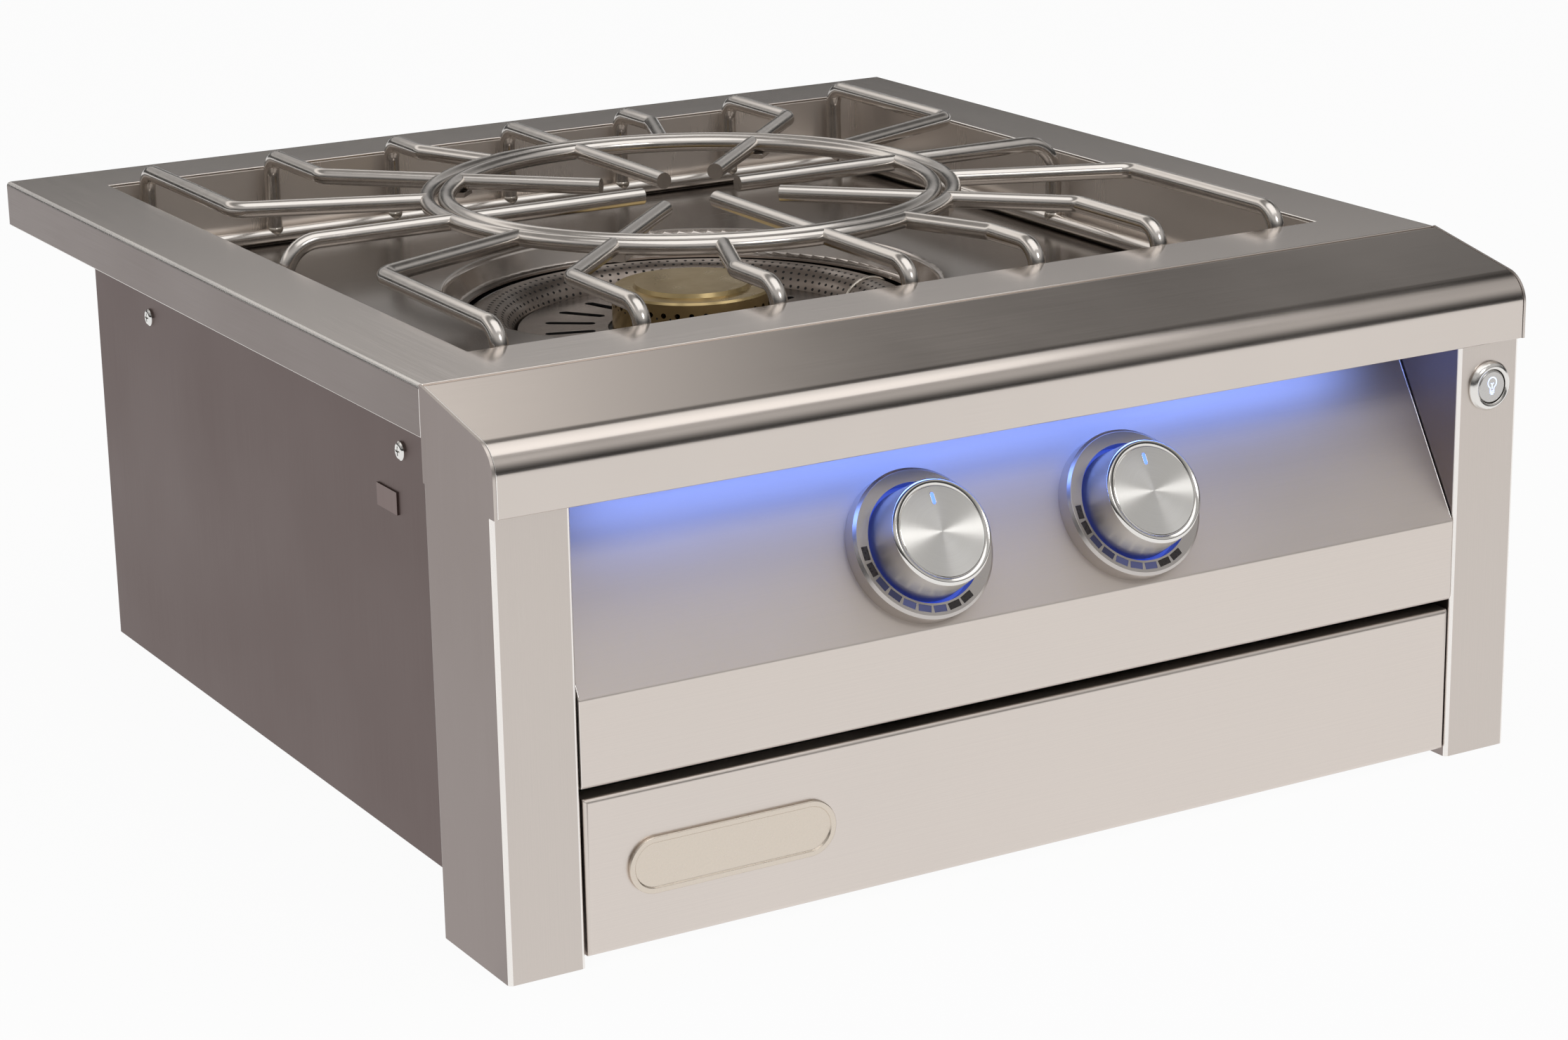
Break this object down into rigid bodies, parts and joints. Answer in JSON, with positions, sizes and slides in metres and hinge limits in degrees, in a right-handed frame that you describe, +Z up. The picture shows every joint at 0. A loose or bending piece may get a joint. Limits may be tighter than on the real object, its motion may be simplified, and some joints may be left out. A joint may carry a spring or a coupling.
{
  "type": "built-in gas power burner",
  "caption": "Drop-in stainless gas power burner with a wok grate over a brass burner and ring burner, two knobs on a lit slanting panel, and a pull-out drip tray.",
  "frame": {"origin": "middle of the underside: mid-width, midway between the fascia's front and the rim's rear edge, on the bottom panel's lower face", "axes": "+X to the right seen from the front, +Y to the rear, +Z up"},
  "size_m": [0.61, 0.664, 0.2902],
  "materials": {
    "stainless": "fine brushed stainless sheet",
    "galvanised": "plain zinc-coated sheet",
    "polished_rod": "polished stainless rod",
    "brass": "machined, slightly dull",
    "cast_iron": "as cast",
    "aluminium_tube": "drawn tube",
    "black_pipe": "satin black",
    "satin_metal": "satin, with polished edges",
    "chrome": "polished",
    "plain_steel": "turned",
    "lit_plastic": "translucent, lit blue from behind",
    "black_plastic": "moulded",
    "ceramic": "white ceramic",
    "silicone": "silicone sleeve"
  },
  "bodies": {
    "cabinet": {"top_rim": "stainless", "front_fascia": "stainless", "left_column": "stainless", "right_column": "stainless", "control_panel": "stainless", "left_side_panel": "stainless", "right_side_panel": "stainless", "side_screws": "stainless", "firebox": "stainless", "burner_pan": "stainless", "air_plate": "stainless", "ring_burner": "stainless", "rear_panel": "galvanised", "bottom_panel": "galvanised", "burner_rails": "galvanised", "burner_bridge": "galvanised", "ring_saddles": "galvanised", "tray_rails": "galvanised", "led_channel": "galvanised", "switch_nut": "galvanised", "burner_head": "brass", "gas_orifices": "brass", "gas_inlet": "brass", "valve_left": "brass", "valve_right": "brass", "burner_pot": "cast_iron", "gas_tube_left": "aluminium_tube", "gas_tube_right": "aluminium_tube", "manifold": "black_pipe", "bezel_left": "satin_metal", "bezel_right": "satin_metal", "button_ring": "chrome", "halo_rings": "lit_plastic", "dial_windows": "lit_plastic", "led_lens": "lit_plastic", "spark_module": "black_plastic", "led_driver": "black_plastic", "power_gland": "black_plastic", "switch_body": "black_plastic", "igniter": "ceramic", "igniter_lead": "silicone"},
    "drip_tray": {"tray_front": "stainless", "tray_pan": "galvanised", "badge_plate": "satin_metal"},
    "plunger_left": {"plunger_left": "brass"},
    "plunger_right": {"plunger_right": "brass"},
    "knob_left": {"knob_left": "satin_metal", "stem_left": "plain_steel", "knob_pointer_left": "lit_plastic"},
    "knob_right": {"knob_right": "satin_metal", "stem_right": "plain_steel", "knob_pointer_right": "lit_plastic"},
    "light_button": {"button_cap": "lit_plastic"},
    "grate": {"grate_ring": "polished_rod", "grate_spokes": "polished_rod", "grate_frame": "polished_rod"},
    "wok_ring": {"wok_ring": "polished_rod", "wok_fingers": "polished_rod"}
  },
  "joints": [
    {"name": "tray_slide", "type": "slide", "parent": "cabinet", "child": "drip_tray", "axis": [0, -1, 0], "range_m": [0, 0.4]},
    {"name": "knob_left_push", "type": "slide", "parent": "cabinet", "child": "plunger_left", "axis": [0, 0.8581, -0.5135], "range_m": [0, 0.003], "stiffness_N_per_m": 1500, "springref_m": -0.003},
    {"name": "knob_left_turn", "type": "hinge", "parent": "plunger_left", "child": "knob_left", "pos_m": [-0.0635, -0.29981, 0.17], "axis": [0, -0.8581, 0.5135], "range_deg": [0, 205]},
    {"name": "knob_right_push", "type": "slide", "parent": "cabinet", "child": "plunger_right", "axis": [0, 0.8581, -0.5135], "range_m": [0, 0.003], "stiffness_N_per_m": 1500, "springref_m": -0.003},
    {"name": "knob_right_turn", "type": "hinge", "parent": "plunger_right", "child": "knob_right", "pos_m": [0.0635, -0.29981, 0.17], "axis": [0, -0.8581, 0.5135], "range_deg": [0, 205]},
    {"name": "light_button_push", "type": "slide", "parent": "cabinet", "child": "light_button", "axis": [0, 1, 0], "range_m": [0, 0.002], "stiffness_N_per_m": 800, "springref_m": -0.002},
    {"name": "grate_lift", "type": "slide", "parent": "cabinet", "child": "grate", "axis": [0, 0, 1], "range_m": [0, 0.15]},
    {"name": "wok_ring_lift", "type": "slide", "parent": "grate", "child": "wok_ring", "axis": [0, 0, 1], "range_m": [0, 0.15]}
  ]
}
